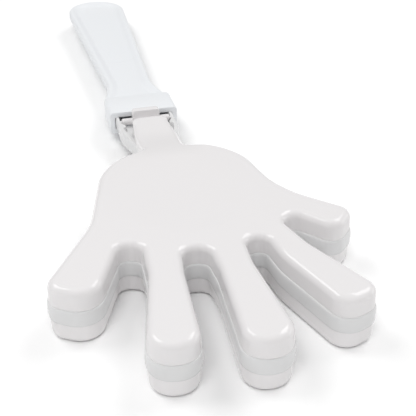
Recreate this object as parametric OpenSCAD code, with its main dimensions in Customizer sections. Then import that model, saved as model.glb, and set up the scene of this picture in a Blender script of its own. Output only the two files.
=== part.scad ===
// Hand clapper: three stacked plastic hands on a grip. The middle hand's fork is pressed into the grip's
// collar, and the two outer hands swing on cross bars that snap into notches in the fork.
// Sizes are worked from the hinge frame: x across, y from the collar's front face towards the grip's end,
// z up from the middle of the stack. Every piece is then placed with the floor at z = 0.

/* [Stack of hands] */
// Half the height of the closed stack
stack_half = 8.85; // [7:0.05:12]
// Thickness of the middle hand's rim
middle_t = 5.1; // [3:0.1:8]
// Gap between two closed hands
seam_gap = 0.2; // [0.15:0.05:0.6]
// Wall of the outer shells
wall = 1.6; // [1:0.1:2.4]
// Radius along the outer edge of the shells
edge_r = 2.3; // [0.5:0.1:3]
// Draft of the shell walls, from seam to edge
draft = 0.15; // [0:0.05:0.5]
// Width of the middle hand's rim
rim_w = 2.6; // [1:0.1:4]
// Thickness of the middle hand's web
web_t = 2; // [1:0.1:4]
// Thickness of the web between the fork's prongs
fork_web = 1; // [0.6:0.1:1.2]
// How far the outer hands stay inside the middle hand's outline
shell_in = 0.5; // [0:0.05:1]

/* [Wrist and hinge] */
// Width of the wrist in front of its taper
wrist_w = 15.3; // [10:0.1:17]
// Height of the wrist's top above the stack's middle
wrist_top = 6.05; // [5:0.05:8]
// Radius of the cross bar
bar_r = 1.3; // [0.8:0.05:1.6]
// Length of the cross bar
bar_len = 20.8; // [18:0.1:21.8]
// Distance of the bar's axis in front of the collar
bar_fwd = 3.5; // [3:0.1:5]
// Height of the bar's axis above the stack's middle
bar_z = 2; // [1.8:0.1:2.2]
// Running gap round the bar in its notch
run_gap = 0.05; // [0.01:0.01:0.1]
// Width of the stop tab
tab_w = 10.4; // [6:0.1:12]
// Height of the stop tab above the stack's middle
tab_top = 6.8; // [6:0.1:8]
// Gap between the stop tab and the collar when closed
tab_gap = 2.2; // [1.5:0.1:3]

/* [Collar and fork] */
// Outer width of the collar
collar_w = 26; // [22:0.1:32]
// Height of the collar
collar_h = 9; // [8:0.1:12]
// Length of the collar along the grip
collar_d = 14.4; // [10:0.1:20]
// Side wall of the collar
collar_side = 2; // [1:0.1:3]
// Roof and floor of the collar
collar_roof = 1.5; // [1:0.1:2.5]
// Wall of the fork's prongs
prong_t = 1.6; // [1:0.1:2.4]
// Press of the fork's sides in the collar
press = 0.02; // [0:0.01:0.05]

/* [Grip] */
// Distance of the grip's end behind the collar's front face
grip_end = 137; // [110:1:170]
// Half width of the grip at its narrow end
grip_narrow = 8.95; // [7:0.05:12]
// Half width that the grip's sides reach at its far end
grip_wide = 14.1; // [10:0.1:18]
// Thickness of the grip over its rim
grip_t = 5; // [4:0.1:8]
// Thickness of the grip's panel
panel_t = 2.4; // [1.6:0.1:4]
// Width of the rim, from the side to the flat of the panel
bead_w = 5; // [3:0.1:6]

/* [Hidden] */
arc_step = 12;
seam_z = middle_t / 2 + seam_gap;
cave_w = collar_w - 2 * collar_side;
cave_h = collar_h - 2 * collar_roof;
cave_d = collar_d - 2;
prong_out = cave_w / 2 + press;
prong_in = prong_out - prong_t;
// the middle of the lower palm, which rests on the floor
rest_y = -75;

// Fingers from thumb to little finger: root x, y and width, tip centre x, y and width, corner shares.
fingers = [
    [30.3, -84.7, 13.4, 38.7, -93.2, 14.0, 0.72, 0.72],
    [23.1, -108.9, 11.8, 31.0, -128.9, 15.2, 0.72, 0.86],
    [4.8, -112.0, 11.4, 5.0, -138.8, 16.2, 0.9, 0.9],
    [-15.0, -111.0, 11.4, -18.5, -135.3, 16.2, 0.9, 0.9],
    [-32.1, -98.1, 13.0, -38.1, -107.6, 17.4, 0.9, 0.68]
];
// Bottoms of the four gaps between the fingers: x, y and width.
webs = [[27.0, -92.7, 4.8], [13.8, -101.0, 5.4], [-4.6, -102.0, 6.4], [-22.4, -96.0, 5.6]];
// Corners of the palm on the thumb side and on the other side: x, y and radius.
palm_thumb_side = [[8.2, -36.6, 6], [24.6, -43.9, 22], [30.2, -74.7, 29]];
palm_little_side = [[-32.5, -81, 25], [-24.3, -47.4, 22], [-8.2, -36.9, 6]];
// Radius of the hollow flank at a finger's root.
root_r = 22;

function unit(v) = v / norm(v);
function across(v) = [-v.y, v.x];
function vert(p, r) = [p.x, p.y, r];
function finger_dir(i) = unit([fingers[i][3] - fingers[i][0], fingers[i][4] - fingers[i][1]]);

// The corners of one finger. Thumb and little finger have straight flanks, the others a narrow root.
function finger_corners(i) =
    let (f = fingers[i], d = finger_dir(i), s = across(d), h = f[5] / 2)
    let (root = [f[0], f[1]], tip = [f[3], f[4]] + d * h)
    let (waist = i > 0 && i < 4)
    concat(
        waist ? [vert(root + s * f[2] / 2, root_r)] : [],
        [vert(tip + s * h, h * f[6]), vert(tip - s * h, h * f[7])],
        waist ? [vert(root - s * f[2] / 2, root_r)] : []
    );

function web_corners(i) =
    let (w = webs[i], s = across(unit(finger_dir(i) + finger_dir(i + 1))), c = [w[0], w[1]])
    [vert(c + s * w[2] / 2, w[2] * 0.49), vert(c - s * w[2] / 2, w[2] * 0.49)];

// One corner of a clockwise outline as an arc: points with the outward normal at each.
function corner_arc(v, i, step) =
    let (n = len(v), p = [v[i].x, v[i].y], r = v[i].z)
    let (before = v[(i + n - 1) % n], after = v[(i + 1) % n])
    let (u = unit([before.x, before.y] - p), w = unit([after.x, after.y] - p))
    let (half = acos(u * w) / 2, c = p + unit(u + w) * r / sin(half))
    let (s = p + u * r / tan(half) - c, e = p + w * r / tan(half) - c)
    let (from = atan2(s.y, s.x), turn = (atan2(e.y, e.x) - from + 540) % 360 - 180)
    let (k = max(2, ceil(abs(turn) / step)), out = turn < 0 ? 1 : -1)
    [for (j = [0:k]) let (a = from + turn * j / k)
        [c.x + r * cos(a), c.y + r * sin(a), out * cos(a), out * sin(a)]];

function outline(v, step) = [for (i = [0:len(v) - 1]) each corner_arc(v, i, step)];
function inset(o, d) = [for (q = o) [q[0] - q[2] * d, q[1] - q[3] * d]];
function slab(o, d, z) = [for (q = inset(o, d)) [q.x, q.y, z]];

hand = outline(concat(
    palm_thumb_side,
    finger_corners(0), web_corners(0), finger_corners(1), web_corners(1), finger_corners(2),
    web_corners(2), finger_corners(3), web_corners(3), finger_corners(4),
    palm_little_side
), arc_step);

// A closed skin over a row of rings with the same number of points in each. Its sides are four-cornered
// where the rings are parallel offsets, and three-cornered where they may twist.
module loft(rings, twist = false) {
    n = len(rings[0]);
    m = len(rings);
    polyhedron(
        points = [for (r = rings) each r],
        faces = concat(
            [[for (i = [n - 1:-1:0]) i]],
            [for (k = [0:m - 2], i = [0:n - 1])
                let (a = k * n + i, b = k * n + (i + 1) % n)
                each (twist ? [[a, b, b + n], [a, b + n, a + n]] : [[a, b, b + n, a + n]])],
            [[for (i = [0:n - 1]) (m - 1) * n + i]]
        ),
        convexity = 10
    );
}

module rounded_plate(v, t) {
    linear_extrude(t, center = true, convexity = 8) polygon(inset(outline(v, arc_step), 0));
}

// Puts a piece from the hinge frame on the floor, with the resting face at the origin.
module on_floor() {
    translate([0, -rest_y, stack_half]) children();
}

// Shell of an outer hand: open below, rounded along its upper edge.
module hand_shell() {
    loft(concat(
        [slab(hand, shell_in + wall + draft, stack_half - wall), slab(hand, shell_in + wall, seam_z)],
        [slab(hand, shell_in, seam_z)],
        [for (a = [0:22.5:90])
            slab(hand, shell_in + draft + edge_r * (1 - cos(a)), stack_half - edge_r * (1 - sin(a)))]
    ));
}

// One cross section of the wrist: half width, underside, top and edge radius at y.
function wrist_section(y, w, low, top, r) = [
    [w, y, low], [w, y, top - r], [w - r * 0.29, y, top - r * 0.29], [w - r, y, top],
    [r - w, y, top], [r * 0.29 - w, y, top - r * 0.29], [-w, y, top - r], [-w, y, low]
];

// The wrist ramps down from the palm and flares where it meets it.
module wrist() {
    w = wrist_w / 2;
    low = seam_z + 0.1;
    deep = web_t / 2 + 0.35;
    loft([
        wrist_section(-38.4, w + 1.6, low, stack_half - 0.8, 2),
        wrist_section(-37.4, w + 0.9, low, stack_half - 0.95, 2),
        wrist_section(-36.2, w + 0.35, low, stack_half - 1.12, 2),
        wrist_section(-34.6, w + 0.08, low, stack_half - 1.38, 2),
        wrist_section(-32, w, low, stack_half - 1.78, 2),
        wrist_section(-27.5, w, low, wrist_top + 0.45, 2),
        wrist_section(-22.5, w - 0.15, low, wrist_top + 0.05, 2),
        wrist_section(-17, w - 0.6, low, wrist_top, 2),
        wrist_section(-14, w - 0.9, deep, wrist_top, 1.8),
        wrist_section(-12, w - 1.1, deep, wrist_top, 1.4),
        wrist_section(-9.6, w - 1.9, deep, wrist_top - 0.3, 0.8),
        wrist_section(-9, w - 2.4, deep, wrist_top - 0.7, 0.6)
    ], twist = true);
}

// The tongue behind the wrist with the cross bar and the stop tab on it.
module bar_and_tab() {
    translate([0.3 - tab_w / 2, -13, bar_z - bar_r + 0.15])
        cube([tab_w - 0.6, 13 - bar_fwd, 2 * bar_r - 0.3]);
    translate([-bar_len / 2, -bar_fwd, bar_z])
        rotate([0, 90, 0])
            cylinder(r = bar_r, h = bar_len, $fn = 64);
    low = bar_z - bar_r + 0.1;
    translate([0, -tab_gap - 1.4, 0])
        rotate([90, 0, 0])
            rounded_plate([
                [-tab_w / 2, tab_top, 1.2], [tab_w / 2, tab_top, 1.2],
                [tab_w / 2, low, 0.3], [-tab_w / 2, low, 0.3]
            ], 2.8);
}

module outer_hand() {
    hand_shell();
    wrist();
    bar_and_tab();
}

module front_hand() {
    color([0.94, 0.925, 0.93]) on_floor() outer_hand();
}

module back_hand() {
    color([0.94, 0.925, 0.93]) on_floor() mirror([0, 0, 1]) outer_hand();
}

// Plan of the middle hand's neck, from the palm to the ends of the prongs.
neck = outline([
    [-prong_out, cave_d - 0.8, 0.6], [prong_out, cave_d - 0.8, 0.6],
    [prong_out, -13, 14], [7.7, -25, 9], [7.5, -45.6, 2],
    [-7.5, -45.6, 2], [-7.7, -25, 9], [-prong_out, -13, 14]
], arc_step);

// Plan of the space between the prongs, with a barb on each prong in front of the bars.
fork_space = [
    [-prong_in, 20], [prong_in, 20], [prong_in, -5], [prong_in - 1.3, -7.8], [prong_in - 1.3, -8.3],
    [prong_in - 0.2, -9], [prong_in - 0.6, -12], [0.6 - prong_in, -12], [0.2 - prong_in, -9],
    [1.3 - prong_in, -8.3], [1.3 - prong_in, -7.8], [-prong_in, -5]
];

// The parts of the middle hand that stand at full height: rim of the hand, rails of the neck, prongs.
module middle_rim() {
    difference() {
        polygon(inset(hand, 0));
        polygon(inset(hand, rim_w));
    }
    difference() {
        polygon(inset(neck, 0));
        polygon(fork_space);
        intersection() {
            polygon(inset(neck, prong_t));
            translate([-20, -62]) square([40, 50.5]);
        }
    }
}

module middle_web() {
    polygon(inset(hand, rim_w / 2));
    difference() {
        polygon(inset(neck, prong_t / 2));
        translate([-20, -13.6]) square([40, 40]);
    }
}

module middle_hand() {
    color([0.92, 0.92, 0.92]) on_floor()
        difference() {
            union() {
                linear_extrude(middle_t, center = true, convexity = 8) middle_rim();
                linear_extrude(web_t, center = true, convexity = 8) middle_web();
                translate([0, -9.8, 0]) cube([2 * prong_in + 0.4, 8.4, fork_web], center = true);
            }
            for (side = [-1, 1])
                translate([-20, -bar_fwd, side * bar_z])
                    rotate([0, 90, 0])
                        cylinder(r = bar_r + run_gap, h = 40, $fn = 64);
        }
}

// Plan of the grip, from its round end to the part that runs into the collar.
grip = outline([
    [-grip_wide, grip_end, 13.2], [grip_wide, grip_end, 13.2],
    [grip_narrow, 31.5, 20], [collar_w / 2 - 0.1, 14.6, 8], [collar_w / 2 - 0.1, 4.5, 5.8],
    [0.1 - collar_w / 2, 4.5, 5.8], [0.1 - collar_w / 2, 14.6, 8], [-grip_narrow, 31.5, 20]
], 9);

// Half of the grip's section as inset from its side and height: the side, the bead and the slope inside it.
grip_side = [
    [0, 0.24 * grip_t], [0.1, 0.36 * grip_t], [0.5, 0.46 * grip_t], [1.2, 0.5 * grip_t],
    [0.38 * bead_w, 0.47 * grip_t], [0.58 * bead_w, 0.37 * grip_t], [0.8 * bead_w, 0.56 * panel_t],
    [bead_w, 0.5 * panel_t]
];

module grip_body() {
    last = len(grip_side) - 1;
    loft(concat(
        [for (j = [last:-1:0]) slab(grip, grip_side[j][0], -grip_side[j][1])],
        [for (j = [0:last]) slab(grip, grip_side[j][0], grip_side[j][1])]
    ));
}

module collar_block() {
    translate([0, collar_d / 2, 0])
        rotate([90, 0, 0])
            rounded_plate([
                [-collar_w / 2, collar_h / 2, 1.5], [collar_w / 2, collar_h / 2, 1.5],
                [collar_w / 2, -collar_h / 2, 1.5], [-collar_w / 2, -collar_h / 2, 1.5]
            ], collar_d);
}

module handle() {
    color([0.9, 0.925, 0.945]) on_floor()
        difference() {
            union() {
                grip_body();
                collar_block();
            }
            translate([-cave_w / 2, -1, -cave_h / 2]) cube([cave_w, cave_d + 1, cave_h]);
        }
}

handle();
middle_hand();
front_hand();
back_hand();
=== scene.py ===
# A white plastic hand clapper that lies closed on a pale floor, fingertips towards the viewer.
# Mouldings are drawn in millimetres from the middle of the collar's mouth: x across, y along the grip,
# z up. The camera, the lights and the marks in the plastic are in metres, in the clapper's own frame.
import math

import bmesh
import bpy
from mathutils import Matrix, Vector


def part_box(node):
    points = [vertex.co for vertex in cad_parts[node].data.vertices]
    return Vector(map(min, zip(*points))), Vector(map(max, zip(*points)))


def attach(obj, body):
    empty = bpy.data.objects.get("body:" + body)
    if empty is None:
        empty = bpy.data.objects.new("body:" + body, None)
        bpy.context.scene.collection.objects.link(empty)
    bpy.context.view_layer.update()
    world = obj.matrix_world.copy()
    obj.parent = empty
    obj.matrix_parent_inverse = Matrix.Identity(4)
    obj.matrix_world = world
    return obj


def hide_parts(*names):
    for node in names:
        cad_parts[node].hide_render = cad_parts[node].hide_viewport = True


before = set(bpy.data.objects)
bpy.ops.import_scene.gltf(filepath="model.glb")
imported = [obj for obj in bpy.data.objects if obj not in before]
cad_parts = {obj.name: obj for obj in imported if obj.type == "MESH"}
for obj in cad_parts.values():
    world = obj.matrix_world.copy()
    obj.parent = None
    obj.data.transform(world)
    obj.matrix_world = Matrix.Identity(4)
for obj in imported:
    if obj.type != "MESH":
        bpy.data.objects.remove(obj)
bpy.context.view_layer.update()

# Camera: it stands in front of the fingertips, a little to the left, and looks down over them along
# the grip.
camera_place = (-0.05414, -0.2337, 0.1609)
camera_direction = (0.2126, 0.8257, -0.5225)
lens = bpy.data.cameras.new("camera")
lens.lens = 77.88
lens.sensor_width = 36
lens.clip_start = 0.01
camera = bpy.data.objects.new("camera", lens)
camera.location = camera_place
camera.rotation_euler = Vector(camera_direction).to_track_quat("-Z", "Y").to_euler()
bpy.context.scene.collection.objects.link(camera)
bpy.context.scene.camera = camera


# Handle: one injection moulding of cool white plastic. A tapered grip carries a rounded rim round a
# sunk panel on both faces, and flares at the shoulders into a hollow square collar that the middle
# hand's fork is pushed into.
grip_plan = [
    (-14.1, 137, 13.2), (14.1, 137, 13.2), (8.95, 31.5, 20), (12.9, 14.6, 8), (12.9, 4.5, 5.8),
    (-12.9, 4.5, 5.8), (-12.9, 14.6, 8), (-8.95, 31.5, 20),
]
grip_start = 13.2
grip_wall = 0.9
rim_crest = 1.25
rim_width = 5.0
rim_height = 2.5
rim_steps = 10
panel_height = 1.2
panel_border = 0.3
collar_plan = [(-13, 4.5, 1.5), (13, 4.5, 1.5), (13, -4.5, 1.5), (-13, -4.5, 1.5)]
collar_length = 14.4
collar_edge = 0.35
mouth_plan = [(-11.35, 2.66, 0.7), (11.35, 2.66, 0.7), (11.35, -2.66, 0.7), (-11.35, -2.66, 0.7)]
mouth_edge = 0.25
mouth_depth = 12.4
handle_low, handle_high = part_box("handle")
mouth_place = (0, 0.075, (handle_low[2] + handle_high[2]) / 2)
millimetre = 0.001
sharp_angle = math.radians(38)
handle_white = (0.815, 0.83, 0.846, 1)
handle_shade = (0.985, 0.99, 1.0, 1)


def rounded_plan(bm, corners, facet=7.5):
    """One flat face from corners of x, y and radius, rounded in facets of so many degrees."""
    least_straight = 0.15
    points = [Vector((x, y, 0)) for x, y, radius in corners]
    count = len(points)
    halves = []
    for i in range(count):
        back = points[i - 1] - points[i]
        ahead = points[(i + 1) % count] - points[i]
        halves.append(back.angle(ahead) / 2)
    runs = [corners[i][2] / math.tan(halves[i]) for i in range(count)]
    for i in range(count):
        room = ((points[i] - points[i - 1]).length - least_straight) / (runs[i] + runs[i - 1])
        if room < 1:
            runs[i] *= room
            runs[i - 1] *= room
    others = set(bm.faces)
    marks = [bm.verts.new(p) for p in points]
    bm.faces.new(marks)
    for mark, half, run in zip(marks, halves, runs):
        turn = 180 - 2 * math.degrees(half)
        bmesh.ops.bevel(
            bm, geom=[mark], affect="VERTICES", offset_type="ABSOLUTE", offset=run,
            segments=max(2, math.ceil(turn / facet)), profile=0.5, material=-1,
        )
    face = next(f for f in bm.faces if f not in others)
    face.normal_update()
    if face.normal.z < 0:
        face.normal_flip()
    return face


def step_in(bm, face, profile):
    """Steps a face inwards and upwards along pairs of inset and height, one ring of faces a step."""
    for (inset, height), (next_inset, next_height) in zip(profile, profile[1:]):
        bmesh.ops.inset_region(
            bm, faces=[face], thickness=next_inset - inset, use_even_offset=True, use_boundary=True,
        )
        bmesh.ops.translate(bm, verts=face.verts, vec=(0, 0, next_height - height))


def two_faced(bm, corners, profile, facet=7.5):
    """A moulding that is the same above and below: a plan stepped in along a profile and mirrored."""
    before = set(bm.verts)
    face = rounded_plan(bm, corners, facet)
    step_in(bm, face, profile)
    half = [v for v in bm.verts if v not in before]
    edges = list({e for v in half for e in v.link_edges})
    faces = list({f for v in half for f in v.link_faces})
    bmesh.ops.mirror(bm, geom=half + edges + faces, matrix=Matrix(), merge_dist=0.001, axis="Z")
    return [v for v in bm.verts if v not in before]


def rounding(inset, height, wide, high, steps):
    """Pairs of inset and height round a quarter of an edge, from the wall to the flat."""
    turns = [math.pi / 2 * i / steps for i in range(steps + 1)]
    return [(inset + wide * (1 - math.cos(a)), height + high * math.sin(a)) for a in turns]


def lay_down(bm, name):
    """Puts a finished moulding in its place, in metres, smooth but for its sharp edges."""
    bmesh.ops.recalc_face_normals(bm, faces=bm.faces)
    bmesh.ops.triangulate(bm, faces=[f for f in bm.faces if len(f.verts) > 4])
    to_place = Matrix.Translation(mouth_place) @ Matrix.Scale(millimetre, 4)
    bmesh.ops.transform(bm, verts=bm.verts, matrix=to_place)
    mesh = bpy.data.meshes.new(name)
    bm.to_mesh(mesh)
    bm.free()
    mesh.shade_smooth()
    mesh.set_sharp_from_angle(angle=sharp_angle)
    piece = bpy.data.objects.new(name, mesh)
    bpy.context.scene.collection.objects.link(piece)
    return piece


class Wire:
    """A value in a material's nodes. Arithmetic on wires adds Math nodes."""

    def __init__(self, tree, socket=None):
        self.tree = tree
        self.socket = socket

    def add(self, kind, settings, sockets, out=0):
        """Adds a node, sets its settings, then its sockets, and gives the wire of one output."""
        made = self.tree.nodes.new(kind)
        for key, value in settings.items():
            setattr(made, key, value)
        for key, value in sockets.items():
            if isinstance(value, Wire):
                self.tree.links.new(value.socket, made.inputs[key])
            else:
                made.inputs[key].default_value = value
        return Wire(self.tree, made.outputs[out])

    def math(self, operation, first, second=0.0):
        return self.add("ShaderNodeMath", {"operation": operation}, {0: first, 1: second})

    def blend(self, share, first, second):
        """Mixes two colours, the second in by a share."""
        return self.add("ShaderNodeMix", {"data_type": "RGBA"}, {0: share, 6: first, 7: second}, out=2)

    def __add__(self, other):
        return self.math("ADD", self, other)

    __radd__ = __add__

    def __sub__(self, other):
        return self.math("SUBTRACT", self, other)

    def __rsub__(self, other):
        return self.math("SUBTRACT", other, self)

    def __mul__(self, other):
        return self.math("MULTIPLY", self, other)

    __rmul__ = __mul__

    def __lt__(self, other):
        return self.math("LESS_THAN", self, other)

    def __gt__(self, other):
        return self.math("GREATER_THAN", self, other)

    def __abs__(self):
        return self.math("ABSOLUTE", self)


cloud_scale = 34.0
cloud_share = 0.8
fine_scale = 420.0
gloss_spread = 0.03
peel_scale = 1500.0
peel_depth = 0.00002
speck_scale = 46.0
speck_radius = 0.013
speck_pick = 0.6
speck_share = 0.45
speck_colour = (0.3, 0.28, 0.27, 1)
line_at = 0.13205
line_shift = 0.0006
line_bend = 50.0
line_half_width = 0.00011
line_reach = 0.0072
line_depth = 1.5
line_share = 0.5
line_shade = 0.86
plastic_ior = 1.49


def moulded_white(name, colour, shade, roughness, grain, mark=None):
    """Moulded plastic: cloudy colour, a few dark specks, uneven gloss and a faint grain."""
    material = bpy.data.materials.new(name)
    material.use_nodes = True
    tree = material.node_tree
    surface = tree.nodes["Principled BSDF"]
    at = Wire(tree).add("ShaderNodeTexCoord", {}, {}, out="Object")
    cloud = at.add("ShaderNodeTexNoise", {}, {"Vector": at, "Scale": cloud_scale, "Detail": 2.0})
    fine = at.add("ShaderNodeTexNoise", {}, {"Vector": at, "Scale": fine_scale, "Detail": 3.0})
    peel = at.add("ShaderNodeTexNoise", {}, {"Vector": at, "Scale": peel_scale, "Detail": 1.0})
    cell = {"Vector": at, "Scale": speck_scale}
    near = at.add("ShaderNodeTexVoronoi", {}, cell, out="Distance")
    pick = at.add("ShaderNodeTexVoronoi", {}, cell, out="Color")
    speck = (near < speck_radius) * (pick > speck_pick)
    shaded = [c * s for c, s in zip(colour, shade)]
    tint = at.blend(cloud * cloud_share + fine * (1 - cloud_share), colour, shaded)
    tint = at.blend(speck * speck_share, tint, speck_colour)
    height = peel
    if mark:
        line = mark(at)
        tint = at.blend(line * line_share, tint, [c * line_shade for c in colour[:3]] + [1])
        height = peel - line * line_depth
    bump = at.add("ShaderNodeBump", {}, {"Strength": grain, "Distance": peel_depth, "Height": height})
    uneven = roughness + cloud * gloss_spread + fine * gloss_spread
    tree.links.new(tint.socket, surface.inputs["Base Color"])
    tree.links.new(uneven.socket, surface.inputs["Roughness"])
    tree.links.new(bump.socket, surface.inputs["Normal"])
    surface.inputs["IOR"].default_value = plastic_ior
    return material


def witness_line(at):
    """A curved hairline across the grip's panel, left by the joint of two mould inserts."""
    across = at.add("ShaderNodeSeparateXYZ", {}, {"Vector": at}, out="X")
    along = Wire(at.tree, across.socket.node.outputs["Y"])
    off = across + line_shift
    curve = along - line_at - off * off * line_bend
    return (abs(curve) < line_half_width) * (abs(across) < line_reach)


solid = bmesh.new()
profile = [(0, 0)] + rounding(0, grip_wall, rim_crest, rim_height - grip_wall, steps=7)
for i in range(1, rim_steps + 1):
    slope = (1 + math.cos(math.pi * i / rim_steps)) / 2
    inset = rim_crest + (rim_width - rim_crest) * i / rim_steps
    profile.append((inset, panel_height + (rim_height - panel_height) * slope))
profile.append((rim_width + panel_border, panel_height))
two_faced(solid, grip_plan, profile, facet=5)
bmesh.ops.bisect_plane(
    solid, geom=solid.verts[:] + solid.edges[:] + solid.faces[:],
    plane_co=(0, grip_start, 0), plane_no=(0, -1, 0), clear_outer=True,
)
bmesh.ops.holes_fill(solid, edges=[e for e in solid.edges if e.is_boundary])
grip_verts = set(solid.verts)
lip = rounded_plan(solid, collar_plan)
lip_round = rounding(0, collar_length - collar_edge, collar_edge, collar_edge, steps=4)
step_in(solid, lip, [(0, 0)] + lip_round)
mouth = rounded_plan(solid, mouth_plan)
bmesh.ops.translate(solid, verts=mouth.verts, vec=(0, 0, collar_length))
lip_edges = list(lip.edges) + list(mouth.edges)
bmesh.ops.delete(solid, geom=[lip], context="FACES_ONLY")
bmesh.ops.triangle_fill(solid, use_beauty=True, edges=lip_edges)
mouth_round = rounding(0, 0, mouth_edge, mouth_edge, steps=4)
inwards = [(mouth_edge - inset, height) for inset, height in reversed(mouth_round)]
step_in(solid, mouth, inwards + [(mouth_edge, -mouth_depth)])
rear = bmesh.ops.holes_fill(solid, edges=[e for e in solid.edges if e.is_boundary])["faces"][0]
bmesh.ops.bevel(
    solid, geom=list(rear.edges), affect="EDGES", offset=collar_edge, segments=3, profile=0.5,
    material=-1,
)
collar_verts = [v for v in solid.verts if v not in grip_verts]
bmesh.ops.rotate(solid, verts=collar_verts, matrix=Matrix.Rotation(math.pi / 2, 3, "X"))
bmesh.ops.translate(solid, verts=collar_verts, vec=(0, collar_length, 0))
handle = lay_down(solid, "handle_moulding")
handle.data.materials.append(moulded_white(
    "handle_plastic", handle_white, handle_shade, roughness=0.4, grain=0.03, mark=witness_line,
))
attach(handle, "handle")
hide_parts("handle")


# Middle hand: a flat hand of neutral white plastic with a full-height rim round a thin web. Its white
# is painted darker than the outer hands' white: painted shade for the shadow it lies in between them.
# Its neck ends in two prongs with barbs, which are pressed into the collar, and the cross bars of the
# outer hands turn in the prongs.

# From the thumb on: root x, y and width, tip x, y and width, how round the tip's two corners are.
fingers = [
    (30.3, -84.7, 13.4, 38.7, -93.2, 14.0, 0.72, 0.72),
    (23.1, -108.9, 11.8, 31.0, -128.9, 15.2, 0.72, 0.86),
    (4.8, -112.0, 11.4, 5.0, -138.8, 16.2, 0.9, 0.9),
    (-15.0, -111.0, 11.4, -18.5, -135.3, 16.2, 0.9, 0.9),
    (-32.1, -98.1, 13.0, -38.1, -107.6, 17.4, 0.9, 0.68),
]
# Between each two fingers: x, y and width of the bottom of the gap.
gaps = [(27.0, -92.7, 4.8), (13.8, -101.0, 5.4), (-4.6, -102.0, 6.4), (-22.4, -96.0, 5.6)]
gap_round = 0.49
root_radius = 22
thumb_shoulder = (24.6, -43.9, 22)
thumb_palm = (30.2, -74.7, 29)
little_palm = (-32.5, -81, 25)
little_shoulder = (-24.3, -47.4, 22)
thumb_neck = [(7.7, -25, 9), (7.5, -36.8, 2)]
little_neck = [(-7.5, -37.1, 2), (-7.7, -25, 9)]
rim_thick = 2.57
rim_edge = 1.8
rim_draft = 0.05
rim_round = 0.37
rim_flat = 0.48
rim_wall = 2.6
prong_out = 11.02
prong_in = 9.42
prong_end = 11.6
prong_radius = 0.6
prong_bend = (prong_out, -13, 14)
prong_side = [
    (8.85, -12.2), (9.22, -9.2), (8.12, -8.6), (8.12, -7.4), (prong_in, -5), (prong_in, prong_end),
]
# Painted shade: the middle hand's neutral white is set darker than the outer hands' to stand in for
# the shade between them.
middle_white_and_painted_shade = (0.73, 0.73, 0.73, 1)
middle_shade = (0.97, 0.97, 0.975, 1)


def finger_line(finger):
    """The direction that a finger points in, and the direction across it."""
    root_x, root_y, root_width, tip_x, tip_y = finger[:5]
    along = Vector((tip_x - root_x, tip_y - root_y)).normalized()
    return along, Vector((-along.y, along.x))


def fingers_path():
    """Corners round the hand from the thumb's side of the palm to the little finger's side."""
    path = [thumb_shoulder, thumb_palm]
    last = len(fingers) - 1
    for i, finger in enumerate(fingers):
        root_x, root_y, root_width, tip_x, tip_y, tip_width, near_round, far_round = finger
        along, side = finger_line(finger)
        half = tip_width / 2
        root = Vector((root_x, root_y))
        tip = Vector((tip_x, tip_y)) + along * half
        waisted = 0 < i < last
        if waisted:
            path.append((*(root + side * root_width / 2), root_radius))
        path.append((*(tip + side * half), half * near_round))
        path.append((*(tip - side * half), half * far_round))
        if waisted:
            path.append((*(root - side * root_width / 2), root_radius))
        if i < last:
            x, y, width = gaps[i]
            next_along = finger_line(fingers[i + 1])[0]
            between = (along + next_along).normalized()
            across = Vector((-between.y, between.x)) * width / 2
            path.append((x + across.x, y + across.y, width * gap_round))
            path.append((x - across.x, y - across.y, width * gap_round))
    return path + [little_palm, little_shoulder]


def inset_corners(corners, inset):
    """The corners of a clockwise plan moved inwards, with radii that keep the arcs parallel."""
    least_radius = 0.3
    moved = []
    for i, (x, y, radius) in enumerate(corners):
        here = Vector((x, y))
        came = (here - Vector(corners[i - 1][:2])).normalized()
        goes = (Vector(corners[(i + 1) % len(corners)][:2]) - here).normalized()
        inward = Vector((came.y, -came.x)) + Vector((goes.y, -goes.x))
        here += inward * inset / (1 + came.dot(goes))
        outside = came.x * goes.y - came.y * goes.x < 0
        moved_radius = radius - inset if outside else radius + inset
        moved.append((here.x, here.y, max(least_radius, moved_radius)))
    return moved


def other_side(corners):
    """The same corners on the little finger's side, in the order that goes on round the plan."""
    return [(-x, y, radius) for x, y, radius in reversed(corners)]


outer = thumb_neck + fingers_path() + little_neck
neck_top = [(prong_out, 0, 0.5), prong_bend]
plan = neck_top + outer + other_side(neck_top)
inner = inset_corners(plan, rim_wall)[2:-2]
prong = [(prong_out, prong_end, prong_radius), prong_bend]
fork = [(x, y, prong_radius) for x, y in prong_side]
rim_plan = prong + outer + other_side(prong) + other_side(fork) + inner[::-1] + fork
profile = [(0, 0)] + rounding(rim_draft, rim_thick - rim_edge, rim_round, rim_edge, steps=5)
solid = bmesh.new()
two_faced(solid, rim_plan, profile + [(rim_flat, rim_thick)])
middle_hand = lay_down(solid, "middle_hand_moulding")
# This material carries the middle hand's painted shade, a darker white for the shadow between the
# outer hands.
middle_hand.data.materials.append(
    moulded_white("middle_plastic_and_painted_shade", middle_white_and_painted_shade, middle_shade, roughness=0.16, grain=0.08)
)
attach(middle_hand, "handle")
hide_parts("middle_hand")


# Web of the middle hand: the thin floor of the same moulding between its rims. It runs on between the
# prongs, thinner there, under the wrists of the outer hands.
web_half = 1.0
web_inset = 1.2
web_border = 0.3
web_rear = [(-9.6, -13.6, 0.5), (9.6, -13.6, 0.5)]
fork_web_low = (-9.5, -14, -0.5)
fork_web_high = (9.5, -4.4, 0.5)
fork_web_edge = 0.1


def rounded_block(bm, low, high, edge):
    """A block between two corners with its edges rounded."""
    verts = bmesh.ops.create_cube(bm, size=1)["verts"]
    low, high = Vector(low), Vector(high)
    bmesh.ops.scale(bm, verts=verts, vec=high - low)
    bmesh.ops.translate(bm, verts=verts, vec=(low + high) / 2)
    edges = list({e for v in verts for e in v.link_edges})
    bmesh.ops.bevel(bm, geom=edges, affect="EDGES", offset=edge, segments=3, profile=0.5, material=-1)


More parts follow.
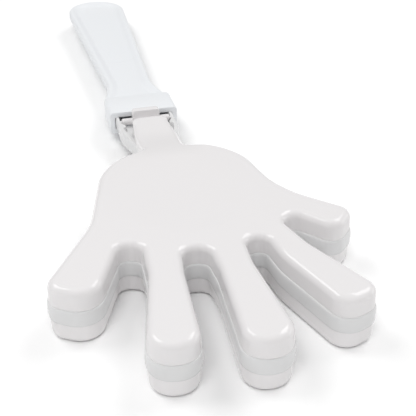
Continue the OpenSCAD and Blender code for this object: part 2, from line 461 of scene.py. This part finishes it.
solid = bmesh.new()
web_plan = web_rear + inset_corners(plan, web_inset)[2:-2]
two_faced(solid, web_plan, [(0, 0), (0, web_half), (web_border, web_half)])
rounded_block(solid, fork_web_low, fork_web_high, fork_web_edge)
web = lay_down(solid, "middle_hand_web")
web.data.materials.append(middle_hand.data.materials[0])
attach(web, "handle")
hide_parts("middle_hand")


# Outer hands: two hollow shells of warm white plastic with a rounded edge and a shallow dish in the
# palm. A wrist ramps down to a tongue with a cross bar that snaps into the fork, and a tab that stops
# against the collar. The lower hand is the upper one's mirror image.
seam = 2.6
stack_half = 8.85
shell_in = 0.5
shell_wall = 1.6
wall_foot = 0.5
wall_draft = 0.15
edge_radius = 2.3
edge_flat = 0.4
hollow_end = -43.4
wrist_plan = [
    (-8.2, -36.9, 2.5), (-8.1, -23, 25), (-6.8, -8.5, 4.3),
    (6.8, -8.5, 4.3), (8.1, -23, 25), (8.2, -36.6, 2.5),
]
wrist_end = -9
ramp_from = -48
ramp_to = -21
ramp_drop = 2.8
ramp_half = 8
ramp_fade = 6
crisp_from = -14
crisp_run = 2.5
crisp_share = 0.85
heel_from = -17
heel_run = 3
heel_drop = 1.3
dish_centre = (-2.2, -69.6)
dish_half = (20.2, 24.4)
dish_depth = 0.5
grid_step = 2
grid_side = 24
grid_front = -96
touching = 0.01
tongue_low = (-5, -13, 0.85)
tongue_high = (5, -3.5, 3.15)
tongue_edge = 0.3
bar_at = (0, -3.5, 2)
bar_radius = 1.3
bar_length = 18.4
bar_edge = 0.7
pin_radius = 0.5
pin_length = 20.8
pin_edge = 0.1
tab_plan = [(-5.2, 6.8, 1.3), (5.2, 6.8, 1.3), (5.2, 0.8, 0.7), (-5.2, 0.8, 0.7)]
tab_at = -3.6
tab_wall = 1.0
tab_edge = 0.4
tab_flat = 0.55
hand_white = (0.80, 0.785, 0.79, 1)
hand_shade = (0.985, 0.98, 0.975, 1)


def hand_shell(bm):
    """The hand drawn up to a rounded edge and hollowed from below in front of the wrist."""
    under = rounded_plan(bm, inset_corners(wrist_plan + fingers_path(), shell_in), facet=6)
    bmesh.ops.translate(bm, verts=bm.verts, vec=(0, 0, seam))
    lifted = bmesh.ops.extrude_face_region(bm, geom=[under])["geom"]
    top = next(g for g in lifted if isinstance(g, bmesh.types.BMFace))
    bmesh.ops.translate(bm, verts=top.verts, vec=(0, 0, wall_foot))
    edge_from = stack_half - edge_radius
    wall = [(0, seam + wall_foot), (wall_draft, edge_from)]
    step_in(bm, top, wall + rounding(wall_draft, edge_from, edge_radius, edge_radius, steps=8)[1:])
    step_in(bm, top, [(0, 0), (edge_flat, 0)])
    shelf = bmesh.ops.bisect_plane(
        bm, geom=[under] + list(under.edges) + list(under.verts),
        plane_co=(0, hollow_end, 0), plane_no=(0, 1, 0),
    )["geom"]
    halves = [g for g in shelf if isinstance(g, bmesh.types.BMFace)]
    palm = min(halves, key=lambda f: f.calc_center_median().y)
    roof = (shell_wall + wall_draft, stack_half - shell_wall)
    step_in(bm, palm, [(0, seam), (shell_wall, seam), roof])
    return top


def cut(bm, geom, place, normal):
    """Cuts along a plane and gives both sides back."""
    return bmesh.ops.bisect_plane(bm, geom=geom, dist=0.00001, plane_co=place, plane_no=normal)["geom"]


def cut_to_bend(bm, top):
    """Cuts the palm into squares and the wrist into strips, so that they can bend."""
    cap = [top] + list(top.edges) + list(top.verts)
    for x in range(-grid_side, grid_side + 1, grid_step):
        cap = cut(bm, cap, (x, 0, 0), (1, 0, 0))
    for y in range(grid_front, ramp_from, grid_step):
        cap = cut(bm, cap, (0, y, 0), (0, 1, 0))
    for y in range(ramp_from, wrist_end, grid_step):
        cut(bm, bm.verts[:] + bm.edges[:] + bm.faces[:], (0, y, 0), (0, 1, 0))


def ease(t):
    """Runs smoothly from 0 to 1."""
    t = min(1.0, max(0.0, t))
    return t * t * (3 - 2 * t)


def bend(bm):
    """Sinks the dish, makes the wrist's end crisp, ramps it down and drops its heel to the tongue."""
    for v in bm.verts:
        x, y, z = v.co
        dish_x = (x - dish_centre[0]) / dish_half[0]
        dish_y = (y - dish_centre[1]) / dish_half[1]
        away = math.hypot(dish_x, dish_y)
        if z > stack_half - touching and away < 1:
            v.co.z -= dish_depth * (1 - away * away)
        elif z > stack_half - edge_radius - touching:
            kept = 1 - crisp_share * ease((y - crisp_from) / crisp_run)
            v.co.z = stack_half - (stack_half - z) * kept
        share = (v.co.z - seam) / (stack_half - seam)
        ramp = ease((y - ramp_from) / (ramp_to - ramp_from))
        ramp *= 1 - ease((abs(x) - ramp_half) / ramp_fade)
        v.co.z -= ramp_drop * share * ramp
        if z < seam + touching:
            v.co.z -= heel_drop * ease((y - heel_from) / heel_run)


def cross_pin(bm, radius, length, edge):
    """A round pin across the wrist on the hinge's axis, with rounded ends."""
    made = bmesh.ops.create_cone(
        bm, cap_ends=True, segments=48, radius1=radius, radius2=radius, depth=length,
    )
    pin = made["verts"]
    edges = {e for v in pin for e in v.link_edges}
    rims = [e for e in edges if abs(e.verts[0].co.z - e.verts[1].co.z) < touching]
    bmesh.ops.rotate(bm, verts=pin, matrix=Matrix.Rotation(math.pi / 2, 3, "Y"))
    bmesh.ops.translate(bm, verts=pin, vec=bar_at)
    bmesh.ops.bevel(bm, geom=rims, affect="EDGES", offset=edge, segments=4, profile=0.5, material=-1)


def hinge_end(bm):
    """The tongue behind the wrist, its cross bar with a thin pin in each prong, and the tab."""
    rounded_block(bm, tongue_low, tongue_high, tongue_edge)
    cross_pin(bm, bar_radius, bar_length, bar_edge)
    cross_pin(bm, pin_radius, pin_length, pin_edge)
    tab_round = rounding(0, tab_wall, tab_edge, tab_edge, steps=4)
    tab = two_faced(bm, tab_plan, [(0, 0)] + tab_round + [(tab_flat, tab_wall + tab_edge)])
    bmesh.ops.rotate(bm, verts=tab, matrix=Matrix.Rotation(math.pi / 2, 3, "X"))
    bmesh.ops.translate(bm, verts=tab, vec=(0, tab_at, 0))


def outer_hand():
    """The upper of the two outer hands, in its place on the hinge."""
    bm = bmesh.new()
    top = hand_shell(bm)
    cut_to_bend(bm, top)
    bend(bm)
    hinge_end(bm)
    return bm


hand_plastic = moulded_white("hand_plastic", hand_white, hand_shade, roughness=0.01, grain=0.05)
front_hand = lay_down(outer_hand(), "front_hand_moulding")
solid = outer_hand()
bmesh.ops.scale(solid, verts=solid.verts, vec=(1, 1, -1))
back_hand = lay_down(solid, "back_hand_moulding")
for piece, body in ((front_hand, "front_hand"), (back_hand, "back_hand")):
    piece.data.materials.append(hand_plastic)
    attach(piece, body)
    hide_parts(body)


# Floor and light: white paper under an even sky. Two overhead softboxes leave a bright wedge on each
# side of a fingertip, and two bare lamps leave small dots between them. A softbox over the camera and
# a low one on the right open the shadows.
floor_half = 2
paper_white = (0.97, 0.97, 0.97, 1)
sky_strength = 0.4
sweep = bmesh.new()
bmesh.ops.create_grid(sweep, x_segments=2, y_segments=2, size=floor_half)
ground = bpy.data.meshes.new("floor")
sweep.to_mesh(ground)
sweep.free()
floor = bpy.data.objects.new("floor", ground)
bpy.context.scene.collection.objects.link(floor)
paper = bpy.data.materials.new("white_paper")
paper.use_nodes = True
paper_surface = paper.node_tree.nodes["Principled BSDF"].inputs
paper_surface["Base Color"].default_value = paper_white
paper_surface["Roughness"].default_value = 0.9
paper_surface["Specular IOR Level"].default_value = 0.1
ground.materials.append(paper)


def softbox(name, place, target, width, height, power):
    """A rectangular area light that faces a point."""
    light = bpy.data.lights.new(name, "AREA")
    light.shape = "RECTANGLE"
    light.size = width
    light.size_y = height
    light.energy = power
    lamp = bpy.data.objects.new(name, light)
    lamp.location = place
    lamp.rotation_euler = (Vector(target) - Vector(place)).to_track_quat("-Z", "Y").to_euler()
    bpy.context.scene.collection.objects.link(lamp)
    return lamp


middle = (0, 0.04, 0)
softbox("left_box", (-0.62, 0.52, 1.0), (-0.62, 0.53, 0), width=0.6, height=0.9, power=5.6)
softbox("right_box", (0.74, 0.45, 1.0), (0.74, 0.46, 0), width=0.6, height=0.9, power=4.8)
softbox("right_low", (1.2, 0.1, 0.3), middle, width=0.8, height=0.4, power=1.5)
front_box = softbox("front_box", (-0.26, -0.62, 1.0), middle, width=0.6, height=0.6, power=5.4)
front_box.visible_glossy = False
softbox("lamp_a", (-0.15, -0.1, 1.0), middle, width=0.02, height=0.02, power=0.1)
softbox("lamp_b", (0.2, -0.12, 1.0), middle, width=0.02, height=0.02, power=0.1)
sky = bpy.data.worlds.new("studio")
sky.use_nodes = True
sky.node_tree.nodes["Background"].inputs["Color"].default_value = (1, 1, 1, 1)
sky.node_tree.nodes["Background"].inputs["Strength"].default_value = sky_strength
bpy.context.scene.world = sky
bpy.context.scene.view_settings.view_transform = "Standard"
